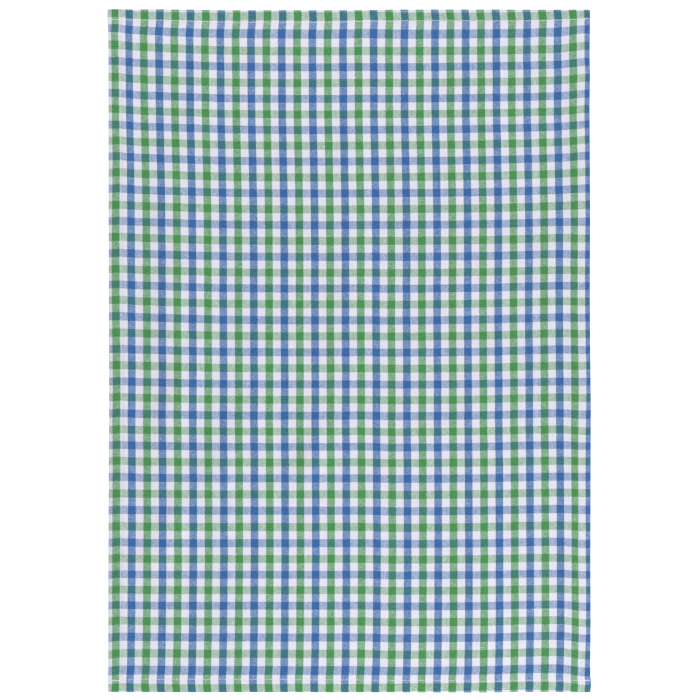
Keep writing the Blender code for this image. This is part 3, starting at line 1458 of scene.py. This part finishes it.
@dataclass(frozen=True)
class HemStitching:
    """Lockstitching along the four hems, with the thread back-tacked at the ends of the end hems."""

    cloth: TowelCloth
    finish: SewingThread
    pitch: float = 2.6 * MM
    length: float = 2.45 * MM
    edge_margin: float = 0.8 * MM  # from a seam's end to the towel's edge
    thread_width: float = 0.58 * MM
    thread_height: float = 0.28 * MM
    crown: float = 0.12 * MM  # the thread's middle above the cloth
    bite: float = 0.26 * MM  # its ends below the cloth
    arch: float = 0.6  # a power: the smaller, the steeper a stitch rises from its holes
    width_at_hole: float = 0.45  # the share of its thickness that the thread has there
    fullness: float = 0.5  # a power: the smaller, the sooner the thread has its full width
    wobble: float = 0.16 * MM  # how far the ends of a stitch stray, one way and the other
    drift: float = 0.4  # how far a whole stitch strays, as a share of that
    tack_stitches: int = 4
    tack_step: float = 0.36 * MM  # between the passes of a back-tack
    rings: int = 7
    sides: int = 6  # an even number
    seed: int = 3

    def evenly(self, half: float) -> np.ndarray:
        """The middles of a row of stitches between two ends at that distance from the middle."""
        count = int(2 * (half - self.edge_margin) / self.pitch)
        return (np.arange(count) - (count - 1) / 2) * self.pitch

    def side_row(self, side: int) -> Run:
        """The stitches of a side hem.

        Args:
            side: -1 for the left hem and 1 for the right one.

        Returns:
            The stitches, in a straight row.
        """
        y = self.evenly(self.cloth.towel.length / 2)
        x = side * (self.cloth.towel.width / 2 - self.cloth.side_hem.stitched_at)
        return Run(np.full(y.size, x), y, np.ones(y.size, int))

    def end_row(self, x: np.ndarray, end: int, aside: np.ndarray | float = 0.0) -> Run:
        """Stitches on or beside an end hem's seam.

        Args:
            x: The stitches' places across the towel.
            end: -1 for the foot hem and 1 for the top one.
            aside: How far above the seam they are.

        Returns:
            The stitches.
        """
        foot, top = self.cloth.seams(x)
        shift = top if end > 0 else foot
        straight = self.cloth.towel.length / 2 - self.cloth.end_hem.stitched_at
        return Run(x, end * (straight + shift) + aside, np.zeros(x.size, int))

    def back_tack(self, tack: BackTack) -> Run:
        """The passes over a seam's end: side by side, and each one set off by a part of a stitch.

        Args:
            tack: Which end it is, and the number of passes.

        Returns:
            The stitches of all passes.
        """
        from_edge = self.edge_margin + (np.arange(self.tack_stitches) + 0.5) * self.pitch
        number = np.arange(tack.passes)
        from_edge, number = np.meshgrid(from_edge, number)
        aside = (number - (tack.passes - 1) / 2) * self.tack_step
        from_edge = from_edge + number * self.pitch / (tack.passes + 1)
        x = tack.side * (self.cloth.towel.width / 2 - from_edge)
        return self.end_row(x.ravel(), tack.end, aside.ravel())

    def runs(self) -> Run:
        """Gathers all the stitches of one surface.

        Returns:
            The stitches of the two side hems, the two end hems and the back-tacks, in this order.
        """
        across = self.evenly(self.cloth.towel.width / 2)
        rows = [self.side_row(side) for side in (-1, 1)]
        rows += [self.end_row(across, end) for end in (-1, 1)]
        rows += [self.back_tack(tack) for tack in BACK_TACKS]
        return Run(*(np.concatenate(part) for part in zip(*rows)))

    def stitches(self, under: bool) -> tuple[np.ndarray, np.ndarray]:
        """The stitches of the face or of the back, as tubes that dip into the cloth at both ends.

        A stitch's hump is the sine of its run from one hole to the next. Its middle line rises as a
        power of the hump. Around that line the thread is an ellipse, which narrows to the holes as
        another power of it.

        Args:
            under: Whether these are the stitches of the back.

        Returns:
            Points with axes of stitch, ring, side and xyz, and map places with axes of stitch,
            ring, side and uv.
        """
        run = self.runs()
        draw = np.random.default_rng(self.seed + int(under))
        count = len(run.x)
        lean = draw.normal(0, self.wobble, (count, 1, 1))
        shift = draw.normal(0, self.drift * self.wobble, (count, 1, 1))
        share = np.linspace(0, 1, self.rings)[None, :, None]
        turn = np.linspace(0, math.tau, self.sides, endpoint=False)[None, None, :]
        hump = np.sin(share * math.pi)
        slim = self.width_at_hole + (1 - self.width_at_hole) * hump**self.fullness
        forward = (share - 0.5) * self.length
        sideways = lean * (share - 0.5) * 2 + shift + np.cos(turn) * slim * self.thread_width / 2
        rise = -self.bite + (self.bite + self.crown) * hump**self.arch
        rise = rise + np.sin(turn) * slim * self.thread_height / 2
        forward, sideways = np.broadcast_arrays(forward, sideways)
        turned = run.turned[:, None, None]
        x = run.x[:, None, None] + np.where(turned, sideways, forward)
        y = run.y[:, None, None] + np.where(turned, forward, -sideways)
        if under:
            height = np.maximum(-rise, -self.cloth.towel.on_thread)
        else:
            height = self.cloth.top(x, y) + rise
        places = np.stack(np.broadcast_arrays(share, turn / math.tau + 0 * x), axis=-1)
        return self.cloth.towel.place(x + self.cloth.side_shift(x, y), y, height), places

    def tube_faces(self) -> np.ndarray:
        """The faces of one stitch: a tube around its rings, with a fan of faces over each end.

        A fan's faces all have the ring's first point. Each takes three more points of the ring, from
        the last one of the face before.

        Returns:
            The corners of each face, as places in the stitch's list of points.
        """
        ring, side = np.meshgrid(np.arange(self.rings - 1), np.arange(self.sides), indexing="ij")
        first = (ring * self.sides + side).ravel()
        second = (ring * self.sides + (side + 1) % self.sides).ravel()
        walls = np.stack([first, second, second + self.sides, first + self.sides], axis=1)
        start = np.array([[point + 2, point + 1, point, 0] for point in range(1, self.sides - 2, 2)])
        end = start[:, ::-1] + (self.rings - 1) * self.sides
        return np.concatenate([walls, start, end])

    def build(self) -> bpy.types.Object:
        """Joins the stitches of both surfaces into one piece of thread.

        Returns:
            The thread.
        """
        made = [self.stitches(under=False), self.stitches(under=True)]
        points = np.concatenate([part.reshape(-1, self.rings * self.sides, 3) for part, _ in made])
        places = np.concatenate([part.reshape(-1, self.rings * self.sides, 2) for _, part in made])
        one = self.tube_faces()
        first = np.arange(len(points)) * self.rings * self.sides
        faces = (one[None] + first[:, None, None]).reshape(-1, 4)
        thread = new_piece("hem_stitching", points.reshape(-1, 3), faces, places.reshape(-1, 2))
        thread.data.materials.append(self.finish.material())
        return thread


# ---------------------------------------------------------------------------------------------
# Studio
# ---------------------------------------------------------------------------------------------


class Lamp(NamedTuple):
    """A round lamp that faces the towel's middle."""

    name: str
    power: float  # in watts
    size: float
    place: tuple[float, float, float]


LAMPS = (
    Lamp("key_lamp", 434.0, 3.5, (4.81, -4.33, 4.70)),
    Lamp("top_lamp", 1.50, 0.3, (-0.10, 0.87, 0.50)),
    Lamp("foot_lamp", 1.20, 0.3, (0.15, -0.75, 0.60)),
)


@dataclass(frozen=True)
class Studio:
    """A white table under soft light, and a camera straight above it."""

    ground: PaleGround
    picture_width: float = 718.5 * MM  # what the square picture shows at the cloth
    aim: tuple[float, float] = (0.6 * MM, 1.0 * MM)
    lens: float = 100.0  # in millimetres, as the sensor's width is
    sensor: float = 36.0
    sight: tuple[float, float] = (0.01, 20.0)  # the nearest and the farthest that the camera sees
    ground_size: float = 8.0
    sky: float = 0.49

    def lay_ground(self) -> bpy.types.Object:
        """Lays one flat sheet at the surface that the towel lies on.

        Returns:
            The ground.
        """
        half = self.ground_size / 2
        x, y = np.meshgrid([-half, half], [-half, half])
        points = np.stack([x, y, 0 * x], axis=-1).reshape(-1, 3)
        ground = new_piece("ground", points, grid_quads(2, 2), points[:, :2])
        ground.data.materials.append(self.ground.material())
        return ground

    def light(self) -> None:
        """Hangs an even white sky and the lamps, each turned to the towel's middle."""
        world = bpy.data.worlds.new("soft_sky")
        world.use_nodes = True
        sky = world.node_tree.nodes["Background"]
        sky.inputs["Color"].default_value = (1.0, 1.0, 1.0, 1.0)
        sky.inputs["Strength"].default_value = self.sky
        bpy.context.scene.world = world
        for lamp in LAMPS:
            light = bpy.data.lights.new(lamp.name, "AREA")
            light.shape = "DISK"
            light.size = lamp.size
            light.energy = lamp.power
            holder = bpy.data.objects.new(lamp.name, light)
            holder.location = lamp.place
            holder.rotation_mode = "QUATERNION"
            holder.rotation_quaternion = (-Vector(lamp.place)).to_track_quat("-Z", "Y")
            bpy.context.scene.collection.objects.link(holder)

    def aim_camera(self) -> None:
        """Hangs a camera straight above, at the height from which the picture has its width."""
        lens = bpy.data.cameras.new("camera")
        lens.lens, lens.sensor_width = self.lens, self.sensor
        lens.clip_start, lens.clip_end = self.sight
        height = self.picture_width * self.lens / self.sensor
        camera = bpy.data.objects.new("camera", lens)
        camera.location = (*self.aim, height)
        bpy.context.scene.collection.objects.link(camera)
        bpy.context.scene.camera = camera

    def set_up(self) -> None:
        """Makes the ground, the light, the camera and the plain view of colours."""
        self.lay_ground()
        self.light()
        self.aim_camera()
        bpy.context.scene.view_settings.view_transform = "Standard"
        bpy.context.scene.view_settings.look = "None"


# ---------------------------------------------------------------------------------------------
# Putting it together
# ---------------------------------------------------------------------------------------------


def report(piece: bpy.types.Object) -> None:
    """Logs a piece's name, its faces and its size in millimetres."""
    size = " x ".join(f"{side / MM:.1f}" for side in piece.dimensions)
    log.info("%s: %d faces, %s mm", piece.name, len(piece.data.polygons), size)


def main() -> None:
    """Sets up the studio, builds the cloth and its sewing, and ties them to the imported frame."""
    logging.basicConfig(level=logging.INFO, format="%(message)s")
    Studio(PaleGround()).set_up()

    towel = LaidTowel()
    towel_cloth = TowelCloth(towel, Grain(towel), CheckedCotton())
    cloth = towel_cloth.build()
    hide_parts(CLOTH_NODE)
    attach(cloth, BODY)
    report(cloth)

    thread = HemStitching(towel_cloth, SewingThread()).build()
    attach(thread, BODY)
    report(thread)


if __name__ == "__main__":
    main()
